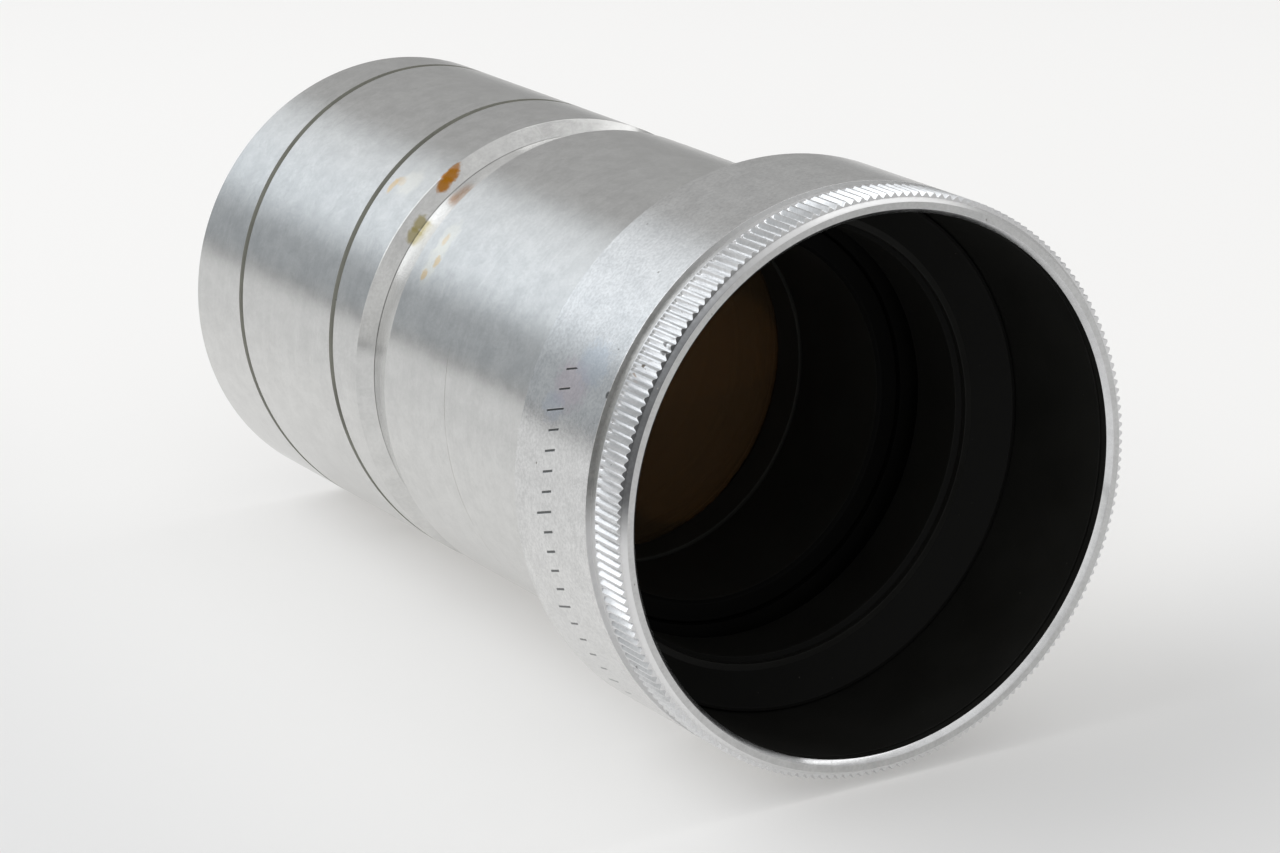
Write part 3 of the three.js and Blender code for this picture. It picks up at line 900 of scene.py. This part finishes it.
def pale_floor():
    """A white sheet glowing with painted light from below, like a light table, so that shadows stay pale.
    """
    half = FLOOR_SIZE / 2
    corners = [(-half, -half, 0), (half, -half, 0), (half, half, 0), (-half, half, 0)]
    shade = Shade("pale_floor", Roughness=0.9, Specular_IOR_Level=0.1, Emission_Strength=1.0)
    cloud = shade.noise((2.0, 2.0, 2.0), detail=1.0)
    away = shade.node("ShaderNodeVectorMath", {0: shade.object}, operation="LENGTH").outputs["Value"]
    # Far away both colour and glow fade: painted falloff of light.
    far = shade.smooth(away, *FLOOR_FADE)
    shade.link(shade.mix(far, shade.mix(cloud, *FLOOR_TINTS), FAR_TINT), "Base Color")
    # Painted light: the glow is weaker in front of the lens and to its right, where the hood's shadow
    # falls, and at the far left.
    axes = shade.node("ShaderNodeSeparateXYZ", {0: shade.object})
    back = shade.math("MULTIPLY_ADD", axes.outputs["X"], GLOW_SLANT, axes.outputs["Y"])
    glow = shade.mix(shade.smooth(back, -35.0 * MM, 5.0 * MM), GLOW_FRONT, GLOW_BACK)
    left = shade.smooth(axes.outputs["X"], -15.0 * MM, -75.0 * MM)
    glow = shade.mix(left, glow, GLOW_LEFT)
    shade.link(shade.mix(far, glow, GLOW_FAR), "Emission Color")
    floor = mesh_object("floor", corners, [(0, 1, 2, 3)], [shade.material])
    floor.rotation_euler = (FLOOR_TILT, 0, 0)
    floor.location = rest_front


# The sky's colours by the height of the direction, 0 at the horizon and 1 overhead.
SKY = [
    (0.0, (0.39, 0.39, 0.385)),
    (0.72, (0.52, 0.52, 0.52)),
    (0.95, (0.72, 0.72, 0.72)),
    (1.0, (1.0, 1.0, 1.0)),
]
# Soft round glows: azimuth, elevation, radius of the full part, radius where it ends, added light.
GLOWS = [
    (-17.5, 30.0, 3.0, 22.5, (0.48, 0.525, 0.57)),
    (-22.0, 6.0, 5.0, 30.0, (0.0, 0.03, 0.06)),
    (6.0, 3.0, 5.0, 18.0, (0.75, 0.75, 0.74)),
    (-150.0, 40.0, 15.0, 70.0, (0.12, 0.12, 0.12)),
    (-90.0, 12.0, 5.0, 50.0, (0.4, 0.4, 0.4)),
]


def aimed(azimuth, elevation):
    """A direction from the lens. Azimuth 0 is towards +Y and 90 towards +X, in degrees."""
    a, e = math.radians(azimuth), math.radians(elevation)
    return Vector((math.sin(a) * math.cos(e), math.cos(a) * math.cos(e), math.sin(e)))


def soft_light(name, azimuth, elevation, distance, width, height, radiance, colour=(1.0, 1.0, 1.0)):
    """A rectangular softbox facing the lens."""
    away = aimed(azimuth, elevation)
    light = bpy.data.lights.new(name, "AREA")
    light.shape = "RECTANGLE"
    light.size, light.size_y = width, height
    light.energy = radiance * width * height * math.pi
    light.color = colour
    made = bpy.data.objects.new(name, light)
    made.location = away * distance
    made.rotation_mode = "QUATERNION"
    made.rotation_quaternion = away.to_track_quat("Z", "Y")
    bpy.context.scene.collection.objects.link(made)


def studio_room():
    """The surroundings: grey low down and brighter overhead, with soft round glows."""
    world = bpy.data.worlds.new("room")
    bpy.context.scene.world = world
    world.use_nodes = True
    tree = world.node_tree
    made = functools.partial(add_node, tree)
    direction = made("ShaderNodeTexCoord").outputs["Generated"]
    height = made("ShaderNodeSeparateXYZ", {0: direction}).outputs["Z"]
    ramp = made("ShaderNodeValToRGB", {"Fac": height})
    stops = ramp.color_ramp.elements
    for place, _ in SKY[len(stops):]:
        stops.new(place)
    for (place, colour), stop in zip(SKY, stops):
        stop.position, stop.color = place, rgb(*colour)
    total = ramp.outputs["Color"]
    for azimuth, elevation, inner, outer, colour in GLOWS:
        towards = tuple(aimed(azimuth, elevation))
        facing = made("ShaderNodeVectorMath", {0: direction, 1: towards}, operation="DOT_PRODUCT")
        low, high = math.cos(math.radians(outer)), math.cos(math.radians(inner))
        limits = {"Value": facing.outputs["Value"], "From Min": low, "From Max": high}
        share = made("ShaderNodeMapRange", limits, interpolation_type="SMOOTHSTEP").outputs["Result"]
        inputs = {0: share, 6: total, 7: rgb(*colour)}
        total = made("ShaderNodeMix", inputs, data_type="RGBA", blend_type="ADD").outputs[2]
    tree.links.new(total, tree.nodes["Background"].inputs["Color"])


def place_camera():
    """The photo's view, from in front, above and to the left."""
    aim = Vector((-1.9, -7.5, -3.1)) * MM
    azimuth, elevation, roll = (math.radians(x) for x in (-30.17, 17.09, 1.61))
    distance = 382.9 * MM
    back = Vector((
        math.sin(azimuth) * math.cos(elevation),
        -math.cos(azimuth) * math.cos(elevation),
        math.sin(elevation),
    ))
    data = bpy.data.cameras.new("camera")
    data.lens = 121.2
    data.sensor_width = 36.0
    data.clip_start, data.clip_end = 0.01, 20.0
    camera = bpy.data.objects.new("camera", data)
    camera.location = aim + back * distance
    camera.rotation_mode = "QUATERNION"
    camera.rotation_quaternion = back.to_track_quat("Z", "Y") @ Quaternion((0, 0, 1), -roll)
    bpy.context.scene.collection.objects.link(camera)
    bpy.context.scene.camera = camera


pale_floor()
studio_room()
soft_light(
    "left_softbox", azimuth=-68.0, elevation=49.0, distance=1.3,
    width=1.1, height=0.9, radiance=2.2, colour=(0.98, 1.0, 1.03),
)
soft_light(
    "right_softbox", azimuth=92.0, elevation=56.0, distance=1.2,
    width=0.4, height=1.0, radiance=1.5,
)
place_camera()
